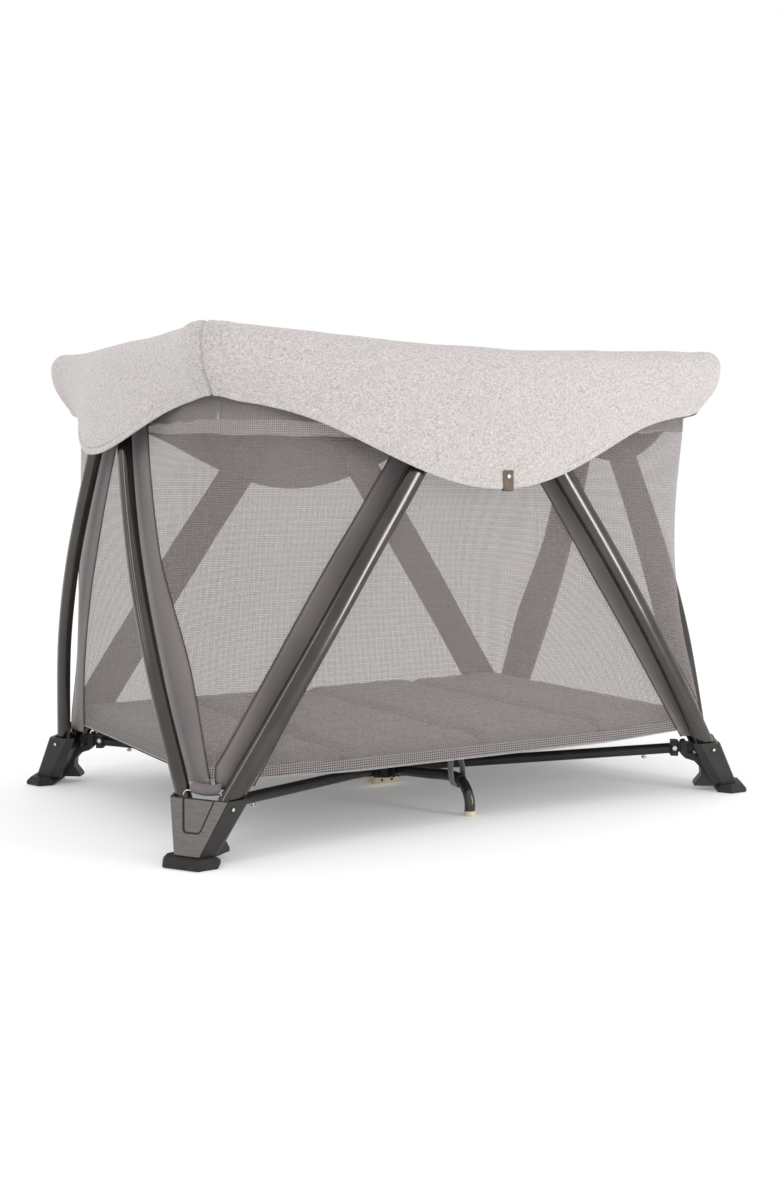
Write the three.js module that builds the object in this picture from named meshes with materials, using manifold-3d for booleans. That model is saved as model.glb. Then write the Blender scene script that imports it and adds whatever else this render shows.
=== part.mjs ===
// A free-standing travel play yard: a folding tube frame on four feet, a mesh tub hung inside it,
// a padded rail cover and a mattress in four panels.
// Millimetres. The origin is on the floor at the middle of the yard, +X along the long side to the
// right, +Y to the back, +Z up. Every repeated piece is built once, in the right-hand back quarter,
// and mirrored to its own corner or side.
import * as THREE from 'three';
import { mergeVertices } from 'three/addons/utils/BufferGeometryUtils.js';
import Module from 'manifold-3d';

const wasm = await Module();
wasm.setup();

// ---------------------------------------------------------------- driving dimensions

const GAP = 0.3;                       // clearance between pieces that meet

// The floor arms and the feet lie on the diagonals. A point near a foot is given as its distance
// from the middle along the diagonal, its distance across it, and its height.
const DIAGONAL = Math.atan2(303, 438);
const ARM_HUB_RADIUS = 45;             // pivot of an arm in the floor hub
const ARM_HUB_HEIGHT = 35;
const ARM_FOOT_RADIUS = 532.6;         // pivot of an arm in its foot
const ARM_FOOT_HEIGHT = 75;
const ARM_TUBE_RADIUS = 9;
const EYE_HALF_WIDTH = 7.2;            // half the thickness of an arm's flattened eye
const EYE_RADIUS = 9.5;
const CHEEK_INNER = 7.8;               // the clevis cheeks stand from here ...
const CHEEK_OUTER = 12.5;              // ... to here on both sides of an eye

const FOOT_MIDDLE = -14;               // the housing's middle, across the diagonal
const FOOT_BASE = 14;                  // underside of the housing, on its rubber pad
const FOOT_TOP = 88;
const POCKET_FLOOR = 66;               // the legs stand in a pocket open at the top

// Leg centre lines in the right-hand back quarter, from the foot pivot to the top pivot.
const LONG_LEG_LINE = [
  [447, 335, 80], [437, 336, 96], [368, 341, 203], [295, 342, 315],
  [217, 337, 431], [142, 329.5, 538], [41, 316, 690],
];
const SHORT_LEG_LINE = [
  [488, 276, 80], [489.5, 270, 96], [506, 205, 264], [508, 145, 404],
  [495, 72, 570], [480, 28, 690],
];
const LONG_LEG_SECTION = [15, 11];     // half width in the plane of the side, half depth
const SHORT_LEG_SECTION = [12, 11];
const LEG_OVERRUN = { foot: 3, top: 11 };   // tube beyond each pivot

const RAIL_HEIGHT = 722;
const RAIL_RADIUS = 8.5;
const LONG_RAIL_Y = 286;
const LONG_RAIL_X = [100, 428];        // hub pivot and corner pivot
const SHORT_RAIL_X = 450;
const SHORT_RAIL_Y = [14, 268];
const LONG_PLATE_Y = [297, 303];       // hub and corner plates lie between rails and legs
const SHORT_PLATE_X = [462, 466.5];
const LEG_PIVOT_HEIGHT = 690;
const LONG_LEG_TOP_X = 41;
const SHORT_LEG_TOP_Y = 28;

const SUPPORT_HUB_Y = 45;              // support legs, under the middle of the floor
const SUPPORT_LINE = [
  [0, 62, 36.9], [0, 150, 46.8], [0, 222, 54.9], [0, 250, 52], [0, 267, 38], [0, 274.6, 22], [0, 275, 9],
];
const SUPPORT_RADIUS = 9;
const TIP_HEIGHT = 8;

const TUB_FLOOR = { halfLength: 461, halfWidth: 318, bottom: 104, top: 107.6, hole: 31 };
const MATTRESS = { halfWidth: 313, bottom: 108.2, top: 138 };
const MATTRESS_SEAMS = [-460, -250, 0, 235, 460];

const WALL_THICKNESS = 3;
const WALL_HEIGHTS = [112, 665];
const LONG_WALL = { y: [320.5, 301], halfLength: [458, 455] };
const SHORT_WALL = { x: [464.5, 459.5], halfLength: [315.5, 297] };

const COVER_THICKNESS = 3;
const COVER_CORNER_HEM = 651;
const LINING_HEM = 620;                // the cover's lining ends level inside the rails
const CORNER_FLARE = [-5, 12, 17, 12, 5];   // how far a corner's skirt stands out, hem to top
const LONG_COVER = { halfLength: 472, hem: 521, top: 738, cornerTop: 751, inner: 272, outer: 326 };
const SHORT_COVER = { halfLength: 326, hem: 574, top: 748, cornerTop: 751, inner: 433, outer: 472 };

// ---------------------------------------------------------------- materials

const material = (color, roughness, metalness = 0) =>
  new THREE.MeshStandardMaterial({ color, roughness, metalness });

const BRONZE_TUBE = material(0x4f4942, 0.34, 0.75);
const BLACK_TUBE = material(0x1d1d1e, 0.5, 0.2);
const BLACK_PLASTIC = material(0x1b1b1c, 0.6);
const FOOT_PLASTIC = material(0x4a4541, 0.5, 0.3);
const BLACK_RUBBER = material(0x1c1c1d, 0.75);
const CREAM_PLASTIC = material(0xcdbf9f, 0.5);
const COVER_FABRIC = material(0xb3aca5, 0.95);
const MESH_FABRIC = material(0x9c9692, 0.9);
const MATTRESS_FABRIC = material(0x7d7673, 0.95);

// ---------------------------------------------------------------- geometry helpers

const vec = (x, y, z) => new THREE.Vector3(x, y, z);

// A point near a corner: along the diagonal, across it (towards the long side), and up.
function nearCorner(along, across, height) {
  const c = Math.cos(DIAGONAL);
  const s = Math.sin(DIAGONAL);
  return vec(along * c - across * s, along * s + across * c, height);
}

// Turns the faces outwards when the solid's signed volume is negative.
function facesOut(geometry) {
  const p = geometry.getAttribute('position');
  const index = geometry.getIndex();
  const [a, b, c] = [vec(), vec(), vec()];
  let volume = 0;
  for (let i = 0; i < index.count; i += 3) {
    a.fromBufferAttribute(p, index.getX(i));
    b.fromBufferAttribute(p, index.getX(i + 1));
    c.fromBufferAttribute(p, index.getX(i + 2));
    volume += a.dot(b.cross(c));
  }
  if (volume < 0) {
    for (let i = 0; i < index.count; i += 3) {
      const second = index.getX(i + 1);
      index.setX(i + 1, index.getX(i + 2));
      index.setX(i + 2, second);
    }
  }
  return geometry;
}

// Only shared positions are kept, so that the mesh is closed.
function closed(geometry) {
  const bare = new THREE.BufferGeometry();
  bare.setAttribute('position', geometry.getAttribute('position').clone());
  if (geometry.getIndex()) bare.setIndex(geometry.getIndex().clone());
  return facesOut(mergeVertices(bare, 1e-4));
}

// A solid through a row of sections that all have the same number of points.
function loft(sections) {
  const count = sections[0].length;
  const positions = sections.flat().flatMap((point) => [point.x, point.y, point.z]);
  const faces = [];
  for (let k = 0; k + 1 < sections.length; k += 1) {
    for (let i = 0; i < count; i += 1) {
      const here = k * count + i;
      const next = k * count + (i + 1) % count;
      faces.push(here, next, next + count, here, next + count, here + count);
    }
  }
  const last = (sections.length - 1) * count;
  for (const [a, b, c] of capTriangles(sections[0])) faces.push(a, c, b);
  for (const [a, b, c] of capTriangles(sections.at(-1))) faces.push(last + a, last + b, last + c);
  const geometry = new THREE.BufferGeometry();
  geometry.setAttribute('position', new THREE.Float32BufferAttribute(positions, 3));
  geometry.setIndex(faces);
  return closed(geometry);
}

// Triangles that fill a flat section, worked out in the section's own plane.
function capTriangles(section) {
  const normal = vec();
  section.forEach((point, i) => {
    const next = section[(i + 1) % section.length];
    normal.add(point.clone().cross(next));
  });
  normal.normalize();
  const across = section[1].clone().sub(section[0]).normalize();
  const up = normal.clone().cross(across);
  const outline = section.map((point) => new THREE.Vector2(point.dot(across), point.dot(up)));
  return THREE.ShapeUtils.triangulateShape(outline, []);
}

// A tube of oval section along a curve. The wide half axis stays in the plane square to `depth`.
function ovalTube(line, [halfWidth, halfDepth], depth, steps, sides) {
  const points = line.map(([x, y, z]) => vec(x, y, z));
  const curve = new THREE.CatmullRomCurve3(points, false, 'centripetal');
  const sections = [];
  for (let k = 0; k <= steps; k += 1) {
    const centre = curve.getPoint(k / steps);
    const along = curve.getTangent(k / steps);
    const wide = along.clone().cross(depth).normalize();
    const deep = wide.clone().cross(along).normalize();
    sections.push(Array.from({ length: sides }, (_, i) => {
      const turn = 2 * Math.PI * i / sides;
      return centre.clone()
        .addScaledVector(wide, halfWidth * Math.cos(turn))
        .addScaledVector(deep, halfDepth * Math.sin(turn));
    }));
  }
  return loft(sections);
}

// Carries a leg's line straight on past its foot pivot and its top pivot.
function overrun(line) {
  const points = line.map(([x, y, z]) => vec(x, y, z));
  const start = points[0].clone().sub(points[1]).setLength(LEG_OVERRUN.foot).add(points[0]);
  const end = points.at(-1).clone().sub(points.at(-2)).setLength(LEG_OVERRUN.top).add(points.at(-1));
  return [start.toArray(), ...line, end.toArray()];
}

// A plate or block: an outline extruded to a depth. `stand` then places it.
function plate(outline, depth, stand = new THREE.Matrix4()) {
  const shape = new THREE.Shape(outline.map(([x, y]) => new THREE.Vector2(x, y)));
  const geometry = new THREE.ExtrudeGeometry(shape, { depth, bevelEnabled: false });
  return closed(geometry.applyMatrix4(stand));
}

// A rounded outline of a rectangle.
function roundedRectangle(x0, y0, x1, y1, radius, steps = 4) {
  const corners = [[x1 - radius, y0 + radius, -90], [x1 - radius, y1 - radius, 0],
    [x0 + radius, y1 - radius, 90], [x0 + radius, y0 + radius, 180]];
  return corners.flatMap(([x, y, from]) => Array.from({ length: steps + 1 }, (_, i) => {
    const turn = THREE.MathUtils.degToRad(from + 90 * i / steps);
    return [x + radius * Math.cos(turn), y + radius * Math.sin(turn)];
  }));
}

// A round bar between two points.
function bar(from, to, radius, sides = 16) {
  const along = to.clone().sub(from);
  const geometry = new THREE.CylinderGeometry(radius, radius, along.length(), sides);
  const turn = new THREE.Quaternion().setFromUnitVectors(vec(0, 1, 0), along.clone().normalize());
  geometry.applyQuaternion(turn);
  const middle = from.clone().add(to).multiplyScalar(0.5);
  return closed(geometry.translate(middle.x, middle.y, middle.z));
}

function box(x0, y0, z0, x1, y1, z1) {
  const geometry = new THREE.BoxGeometry(x1 - x0, y1 - y0, z1 - z0);
  return closed(geometry.translate((x0 + x1) / 2, (y0 + y1) / 2, (z0 + z1) / 2));
}

// A block square to the diagonal.
function diagonalBox(along0, across0, z0, along1, across1, z1) {
  return closed(box(along0, across0, z0, along1, across1, z1).rotateZ(DIAGONAL));
}

function solid(geometry) {
  const position = geometry.getAttribute('position');
  const vertProperties = new Float32Array(position.array);
  const triVerts = new Uint32Array(geometry.getIndex().array);
  return new wasm.Manifold(new wasm.Mesh({ numProp: 3, vertProperties, triVerts }));
}

function fromSolid(manifold) {
  const mesh = manifold.getMesh();
  const geometry = new THREE.BufferGeometry();
  geometry.setAttribute('position', new THREE.Float32BufferAttribute(mesh.vertProperties, 3));
  geometry.setIndex(Array.from(mesh.triVerts));
  return facesOut(geometry);
}

// Joins the first geometries and then cuts the second ones out.
function carved(joined, cut = []) {
  let body = joined.map(solid).reduce((all, next) => all.add(next));
  for (const piece of cut) body = body.subtract(solid(piece));
  return fromSolid(body);
}

function mirrored(geometry, sideX, sideY) {
  return facesOut(geometry.clone().scale(sideX, sideY, 1));
}

// Adds a named mesh whose origin is its own pivot or resting point.
function addPart(group, name, geometry, look, pivot = vec(0, 0, 0)) {
  const part = new THREE.Mesh(geometry.clone().translate(-pivot.x, -pivot.y, -pivot.z), look);
  part.name = name;
  part.position.copy(pivot);
  group.add(part);
}

// ---------------------------------------------------------------- floor hub

function clevisCheeks(turn, pivotRadius) {
  return [-1, 1].map((side) => {
    const cheek = box(pivotRadius - 14, side * (CHEEK_INNER + CHEEK_OUTER) / 2 - 2.35, 24,
      pivotRadius + 10, side * (CHEEK_INNER + CHEEK_OUTER) / 2 + 2.35, 47);
    return closed(cheek.rotateZ(turn));
  });
}

function clevisSlot(turn) {
  return closed(box(33, -CHEEK_INNER, 10, 70, CHEEK_INNER, 62).rotateZ(turn));
}

function floorHub() {
  const armTurns = [DIAGONAL, Math.PI - DIAGONAL, Math.PI + DIAGONAL, -DIAGONAL];
  const turns = [...armTurns, Math.PI / 2, -Math.PI / 2];
  const base = new THREE.CylinderGeometry(40, 40, 34, 24).rotateX(Math.PI / 2).translate(0, 0, 37.5);
  const column = new THREE.CylinderGeometry(33.5, 33.5, 60, 24).rotateX(Math.PI / 2).translate(0, 0, 73.5);
  const cheeks = turns.flatMap((turn) => clevisCheeks(turn, ARM_HUB_RADIUS));
  const pocket = new THREE.CylinderGeometry(28, 28, 44, 24).rotateX(Math.PI / 2).translate(0, 0, 88);
  return carved([closed(base), closed(column), ...cheeks], [...turns.map(clevisSlot), closed(pocket)]);
}

function hubBasePlate() {
  const wings = plate(roundedRectangle(-56, -11, 56, 11, 5), 3.5, new THREE.Matrix4().makeTranslation(0, 0, 16.5));
  const block = plate(roundedRectangle(-27, -13, 27, 13, 4), 11, new THREE.Matrix4().makeTranslation(0, 0, 6));
  return carved([wings, block]);
}

function pullHandle() {
  const posts = [-1, 1].map((side) => box(side * 15 - 3, -5, 67, side * 15 + 3, 5, 92));
  return carved([...posts, box(-21, -6, 86, 21, 6, 96), box(-21, -8, 67, 21, 8, 71)]);
}

// ---------------------------------------------------------------- floor arms and feet

// A flattened eye with its neck, turned so that its pin lies across the diagonal.
function eye(along, height, towards, neck) {
  const disc = new THREE.CylinderGeometry(EYE_RADIUS, EYE_RADIUS, 2 * EYE_HALF_WIDTH, 16);
  disc.translate(along, 0, height);
  const [near, far] = [along, along + towards * neck].sort((a, b) => a - b);
  return [closed(disc), box(near, -EYE_HALF_WIDTH, height - 8, far, EYE_HALF_WIDTH, height + 8)];
}

function armLine(along) {
  const share = (along - ARM_HUB_RADIUS) / (ARM_FOOT_RADIUS - ARM_HUB_RADIUS);
  return vec(along, 0, ARM_HUB_HEIGHT + share * (ARM_FOOT_HEIGHT - ARM_HUB_HEIGHT));
}

function floorArm() {
  const tube = bar(armLine(62), armLine(499), ARM_TUBE_RADIUS);
  const arm = carved([...eye(ARM_HUB_RADIUS, ARM_HUB_HEIGHT, 1, 20), tube]);
  return closed(arm.rotateZ(DIAGONAL));
}

function armEndFitting() {
  const socket = plate(roundedRectangle(499.8, -11.5, 513, 11.5, 3), 26,
    new THREE.Matrix4().makeTranslation(0, 0, ARM_FOOT_HEIGHT - 14.5));
  const fitting = carved([socket, ...eye(ARM_FOOT_RADIUS, ARM_FOOT_HEIGHT, -1, 22)]);
  return closed(fitting.rotateZ(DIAGONAL));
}

// A section of the foot at one height, from the outer face round to the inner side.
function footSection(height, outer, side, inner) {
  const corners = [outer, side, inner];
  const left = corners.map(([along, half]) => nearCorner(along, FOOT_MIDDLE + half, height));
  const right = corners.map(([along, half]) => nearCorner(along, FOOT_MIDDLE - half, height)).reverse();
  return [...left, ...right];
}

function footShell() {
  return loft([
    footSection(FOOT_BASE, [611, 21], [588, 31], [569, 27]),
    footSection(FOOT_TOP, [578, 48], [545, 62], [533, 57]),
  ]);
}

function legPocket() {
  return loft([
    footSection(POCKET_FLOOR, [583, 37], [562, 49.5], [528, 45]),
    footSection(FOOT_TOP + 3, [571.5, 46], [549, 58.5], [526, 53]),
  ]);
}

// The inner web that carries the clevis and comes down to the floor inside the pad.
function footWeb() {
  const outline = [[517, 64], [524, 57], [540, 52], [551, 40], [552, 28], [541, 14], [541, 9], [573, 9], [579, 14.2],
    [596, 16], [580, 60], [541, 60], [541, 87], [520, 87], [517, 84]];
  const stand = new THREE.Matrix4().makeRotationX(Math.PI / 2).setPosition(0, CHEEK_OUTER, 0);
  const web = plate(outline, 2 * CHEEK_OUTER, stand);
  return closed(web.rotateZ(DIAGONAL));
}

function footHousing() {
  const slot = diagonalBox(505, -CHEEK_INNER, 63.5, 547, CHEEK_INNER, 100);
  return carved([footShell(), footWeb()], [legPocket(), slot]);
}

function footPad() {
  const section = (height, inset) => footSection(height,
    [630 - inset, 28], [602, 46 - inset], [578 + inset, 35 - inset / 2]);
  return loft([section(0, 1.5), section(3, 0), section(7, 1), section(FOOT_BASE - GAP, 8)]);
}

// ---------------------------------------------------------------- legs, hubs and rails

function longLeg() {
  return ovalTube(overrun(LONG_LEG_LINE), LONG_LEG_SECTION, vec(0, 1, 0), 14, 12);
}

function shortLeg() {
  return ovalTube(overrun(SHORT_LEG_LINE), SHORT_LEG_SECTION, vec(1, 0, 0), 14, 12);
}

// The T-shaped plate in the middle of a long side, with a boss at each pivot.
function longHub() {
  const stand = new THREE.Matrix4().makeRotationX(Math.PI / 2).setPosition(0, LONG_PLATE_Y[1], 0);
  const thickness = LONG_PLATE_Y[1] - LONG_PLATE_Y[0];
  const beam = plate(roundedRectangle(-112, 708, 112, 731, 9), thickness, stand);
  const tongue = plate(roundedRectangle(-56, 676, 56, 722, 9), thickness, stand);
  const legFace = LONG_PLATE_Y[1] + 0.9;
  const railFace = LONG_RAIL_Y + RAIL_RADIUS + GAP;
  const bosses = [-1, 1].flatMap((side) => [
    bar(vec(side * LONG_LEG_TOP_X, 300, LEG_PIVOT_HEIGHT), vec(side * LONG_LEG_TOP_X, legFace, LEG_PIVOT_HEIGHT), 8),
    bar(vec(side * LONG_RAIL_X[0], 300, RAIL_HEIGHT), vec(side * LONG_RAIL_X[0], railFace, RAIL_HEIGHT), 6),
  ]);
  return carved([beam, tongue, ...bosses]);
}

function shortHub() {
  const stand = new THREE.Matrix4().makeBasis(vec(0, 1, 0), vec(0, 0, 1), vec(1, 0, 0))
    .setPosition(SHORT_PLATE_X[0], 0, 0);
  const thickness = SHORT_PLATE_X[1] - SHORT_PLATE_X[0];
  const body = plate(roundedRectangle(-31, 677, 31, 732, 9), thickness, stand);
  const legFace = SHORT_PLATE_X[1] + 0.6;
  const railFace = SHORT_RAIL_X + RAIL_RADIUS + GAP;
  const bosses = [-1, 1].flatMap((side) => [
    bar(vec(464, side * 22, LEG_PIVOT_HEIGHT), vec(legFace, side * 22, LEG_PIVOT_HEIGHT), 7),
    bar(vec(464, side * SHORT_RAIL_Y[0], RAIL_HEIGHT), vec(railFace, side * SHORT_RAIL_Y[0], RAIL_HEIGHT), 6),
  ]);
  return carved([body, ...bosses]);
}

function longRail() {
  const length = LONG_RAIL_X[1] - LONG_RAIL_X[0];
  const rail = new THREE.CapsuleGeometry(RAIL_RADIUS, length, 3, 14).rotateZ(Math.PI / 2);
  return closed(rail.translate((LONG_RAIL_X[0] + LONG_RAIL_X[1]) / 2, LONG_RAIL_Y, RAIL_HEIGHT));
}

function shortRail() {
  const length = SHORT_RAIL_Y[1] - SHORT_RAIL_Y[0];
  const rail = new THREE.CapsuleGeometry(RAIL_RADIUS, length, 3, 14);
  return closed(rail.translate(SHORT_RAIL_X, (SHORT_RAIL_Y[0] + SHORT_RAIL_Y[1]) / 2, RAIL_HEIGHT));
}

// An angle bracket outside both rail ends, with a boss at each pivot.
function cornerJoint() {
  const [inX, outX] = SHORT_PLATE_X;
  const [inY, outY] = LONG_PLATE_Y;
  const outline = [[414, inY], [inX, inY], [inX, 254], [outX, 254], [outX, outY - 6], [outX - 2, outY - 2],
    [outX - 6, outY], [414, outY]];
  const angle = plate(outline, 28, new THREE.Matrix4().makeTranslation(0, 0, 708));
  const longBoss = bar(vec(LONG_RAIL_X[1], 300, RAIL_HEIGHT),
    vec(LONG_RAIL_X[1], LONG_RAIL_Y + RAIL_RADIUS + GAP, RAIL_HEIGHT), 6);
  const shortBoss = bar(vec(464, SHORT_RAIL_Y[1], RAIL_HEIGHT),
    vec(SHORT_RAIL_X + RAIL_RADIUS + GAP, SHORT_RAIL_Y[1], RAIL_HEIGHT), 6);
  return carved([angle, longBoss, shortBoss]);
}

function supportLeg() {
  const tube = ovalTube(SUPPORT_LINE, [SUPPORT_RADIUS, SUPPORT_RADIUS], vec(1, 0, 0), 16, 12);
  const hubEye = eye(SUPPORT_HUB_Y, ARM_HUB_HEIGHT, 1, 20).map((piece) => closed(piece.rotateZ(Math.PI / 2)));
  return carved([tube, ...hubEye]);
}

function supportTip() {
  const tip = new THREE.CylinderGeometry(9.4, 10.5, TIP_HEIGHT, 16).rotateX(Math.PI / 2);
  return closed(tip.translate(0, 275, TIP_HEIGHT / 2));
}

// ---------------------------------------------------------------- soft pieces

function tubFloor() {
  const { halfLength, halfWidth, bottom, top, hole } = TUB_FLOOR;
  const panel = plate(roundedRectangle(-halfLength, -halfWidth, halfLength, halfWidth, 18), top - bottom,
    new THREE.Matrix4().makeTranslation(0, 0, bottom));
  const opening = new THREE.CylinderGeometry(hole, hole, 20, 24).rotateX(Math.PI / 2).translate(0, 0, bottom);
  return carved([panel], [closed(opening)]);
}

function mattressPanel(from, to) {
  const inset = 0.4;
  const outline = roundedRectangle(from + inset, -MATTRESS.halfWidth, to - inset, MATTRESS.halfWidth, 6, 2);
  return plate(outline, MATTRESS.top - MATTRESS.bottom,
    new THREE.Matrix4().makeTranslation(0, 0, MATTRESS.bottom));
}

function longWall() {
  return loft(WALL_HEIGHTS.map((height, end) => {
    const y = LONG_WALL.y[end];
    const half = LONG_WALL.halfLength[end];
    return [vec(-half, y, height), vec(half, y, height),
      vec(half, y - WALL_THICKNESS, height), vec(-half, y - WALL_THICKNESS, height)];
  }));
}

function shortWall() {
  return loft(WALL_HEIGHTS.map((height, end) => {
    const x = SHORT_WALL.x[end];
    const half = SHORT_WALL.halfLength[end];
    return [vec(x, -half, height), vec(x, half, height),
      vec(x - WALL_THICKNESS, half, height), vec(x - WALL_THICKNESS, -half, height)];
  }));
}

// The cover's outer line at one place along a rail: from the outer hem over the rail to the inner
// hem. `rise` is 0 in the middle of the side and 1 at the corner.
function coverLine(side, rise) {
  const mix = (middle, corner) => middle + (corner - middle) * rise;
  const hem = mix(side.hem, COVER_CORNER_HEM);
  const top = mix(side.top, side.cornerTop);
  const bulge = (side === LONG_COVER ? 29 : 49) * (1 - rise);
  const flare = CORNER_FLARE.map((reach) => reach * rise ** 3);
  const { inner, outer } = side;
  return [
    [outer + bulge + flare[0], hem],
    [outer + bulge * 0.92 + flare[1], hem + (top - hem) * 0.45],
    [outer + bulge * 0.7 + flare[2], hem + (top - hem) * 0.78],
    [outer - 5 + bulge * 0.45 + flare[3], top - 9],
    [outer - 16 + bulge * 0.2 + flare[4], top - 1],
    [inner + 20, top],
    [inner + 6, top - 4],
    [inner, top - 16],
    [inner, LINING_HEM],
  ];
}

// The same line moved inwards by the cover's thickness.
function insetLine(line, distance) {
  const points = line.map(([across, z]) => new THREE.Vector2(across, z));
  return points.map((point, i) => {
    const before = points[Math.max(i - 1, 0)];
    const after = points[Math.min(i + 1, points.length - 1)];
    const along = after.clone().sub(before).normalize();
    return [point.x - along.y * distance, point.y + along.x * distance];
  });
}

function coverShell(side, place) {
  const steps = 14;
  const mitre = (across) => {
    const share = (across - side.inner) / (side.outer - side.inner);
    const innerEnd = side === LONG_COVER ? SHORT_COVER.inner : LONG_COVER.inner;
    return innerEnd + share * (side.halfLength - innerEnd) - GAP;
  };
  const sections = [];
  for (let k = 0; k <= steps; k += 1) {
    const share = 2 * k / steps - 1;
    const rise = Math.sin(Math.abs(share) * Math.PI / 2) ** 2;
    const line = coverLine(side, rise);
    const lining = insetLine(line, COVER_THICKNESS).reverse();
    sections.push([...line, ...lining].map(([across, z]) => place(share * mitre(across), across, z)));
  }
  return loft(sections);
}

const longCover = () => coverShell(LONG_COVER, (along, across, z) => vec(along, across, z));
const shortCover = () => coverShell(SHORT_COVER, (along, across, z) => vec(across, along, z));

// ---------------------------------------------------------------- assembly

const yard = new THREE.Group();

const CORNERS = [['fl', -1, -1], ['fr', 1, -1], ['bl', -1, 1], ['br', 1, 1]];

function addFloorHub() {
  addPart(yard, 'floor_hub', floorHub(), BLACK_PLASTIC);
  addPart(yard, 'floor_hub_base_plate', hubBasePlate(), CREAM_PLASTIC);
  addPart(yard, 'fold_pull_handle', pullHandle(), BLACK_PLASTIC, vec(0, 0, 67));
}

// Every piece that repeats at the four corners, with its own pivot.
function addCorners() {
  const pieces = [
    ['floor_arm', floorArm(), BLACK_TUBE, nearCorner(ARM_HUB_RADIUS, 0, ARM_HUB_HEIGHT)],
    ['arm_end_fitting', armEndFitting(), BLACK_PLASTIC, nearCorner(ARM_FOOT_RADIUS, 0, ARM_FOOT_HEIGHT)],
    ['foot_housing', footHousing(), FOOT_PLASTIC, nearCorner(ARM_FOOT_RADIUS, 0, ARM_FOOT_HEIGHT)],
    ['foot_pad', footPad(), BLACK_RUBBER, nearCorner(606, FOOT_MIDDLE, 0)],
    ['long_leg', longLeg(), BRONZE_TUBE, vec(...LONG_LEG_LINE[0])],
    ['short_leg', shortLeg(), BRONZE_TUBE, vec(...SHORT_LEG_LINE[0])],
    ['long_rail', longRail(), BLACK_TUBE, vec(LONG_RAIL_X[0], LONG_RAIL_Y, RAIL_HEIGHT)],
    ['short_rail', shortRail(), BLACK_TUBE, vec(SHORT_RAIL_X, SHORT_RAIL_Y[0], RAIL_HEIGHT)],
    ['corner_joint', cornerJoint(), BLACK_PLASTIC, vec(LONG_RAIL_X[1], LONG_RAIL_Y, RAIL_HEIGHT)],
  ];
  for (const [corner, sideX, sideY] of CORNERS) {
    const group = new THREE.Group();
    for (const [name, geometry, look, pivot] of pieces) {
      const place = vec(pivot.x * sideX, pivot.y * sideY, pivot.z);
      addPart(group, `${name}_${corner}`, mirrored(geometry, sideX, sideY), look, place);
    }
    yard.add(group);
  }
}

// Pieces in the middle of the long sides, front and back.
function addLongSides() {
  const pieces = [
    ['long_hub', longHub(), BLACK_PLASTIC],
    ['support_leg', supportLeg(), BRONZE_TUBE],
    ['support_leg_tip', supportTip(), CREAM_PLASTIC],
    ['tub_wall', longWall(), MESH_FABRIC],
    ['rail_cover', longCover(), COVER_FABRIC],
  ];
  for (const [side, sideY] of [['front', -1], ['back', 1]]) {
    for (const [name, geometry, look] of pieces) {
      addPart(yard, `${name}_${side}`, mirrored(geometry, 1, sideY), look);
    }
  }
}

// Pieces in the middle of the short sides, left and right.
function addShortSides() {
  const pieces = [
    ['short_hub', shortHub(), BLACK_PLASTIC],
    ['tub_wall', shortWall(), MESH_FABRIC],
    ['rail_cover', shortCover(), COVER_FABRIC],
  ];
  for (const [side, sideX] of [['left', -1], ['right', 1]]) {
    for (const [name, geometry, look] of pieces) {
      addPart(yard, `${name}_${side}`, mirrored(geometry, sideX, 1), look);
    }
  }
}

function addFloorPieces() {
  addPart(yard, 'tub_floor', tubFloor(), MESH_FABRIC);
  const names = ['mattress_left', 'mattress_middle_left', 'mattress_middle_right', 'mattress_right'];
  names.forEach((name, i) => {
    addPart(yard, name, mattressPanel(MATTRESS_SEAMS[i], MATTRESS_SEAMS[i + 1]), MATTRESS_FABRIC);
  });
}

addFloorHub();
addCorners();
addLongSides();
addShortSides();
addFloorPieces();

export default yard;
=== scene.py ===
"""Looks of the folding travel play yard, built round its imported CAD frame."""

import math

import bmesh
import bpy
import numpy as np
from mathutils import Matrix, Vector, noise


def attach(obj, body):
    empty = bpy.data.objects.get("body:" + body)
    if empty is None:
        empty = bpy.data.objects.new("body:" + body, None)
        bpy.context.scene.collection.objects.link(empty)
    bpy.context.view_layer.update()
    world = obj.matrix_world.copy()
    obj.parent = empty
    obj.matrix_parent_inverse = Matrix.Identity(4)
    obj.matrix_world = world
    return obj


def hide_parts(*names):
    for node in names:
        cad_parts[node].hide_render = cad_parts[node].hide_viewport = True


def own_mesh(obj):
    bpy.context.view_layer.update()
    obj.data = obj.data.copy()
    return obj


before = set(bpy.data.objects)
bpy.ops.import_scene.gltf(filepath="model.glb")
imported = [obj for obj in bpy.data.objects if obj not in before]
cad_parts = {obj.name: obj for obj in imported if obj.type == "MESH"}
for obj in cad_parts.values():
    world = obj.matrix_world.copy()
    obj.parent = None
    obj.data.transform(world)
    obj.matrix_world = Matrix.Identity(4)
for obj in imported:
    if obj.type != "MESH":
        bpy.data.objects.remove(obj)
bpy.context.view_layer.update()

# ------------------------------------------------------------------ the CAD's own sizes, in mm

DIAGONAL = math.atan2(303, 438)
CORNERS = {"fl": (-1, -1), "fr": (1, -1), "bl": (-1, 1), "br": (1, 1)}
SIDES = ("front", "back", "left", "right")

# A foot's housing: how far across the diagonal its middle stands, the heights of its base and top, and
# the ends of its outer face and side there (along the diagonal, across from its own middle).
FOOT_MIDDLE = -14
FOOT_BASE = 14
FOOT_TOP = 88
BASE_FACE = (611, 21)
BASE_SIDE = (588, 31)
TOP_FACE = (578, 48)
TOP_SIDE = (545, 62)

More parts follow.
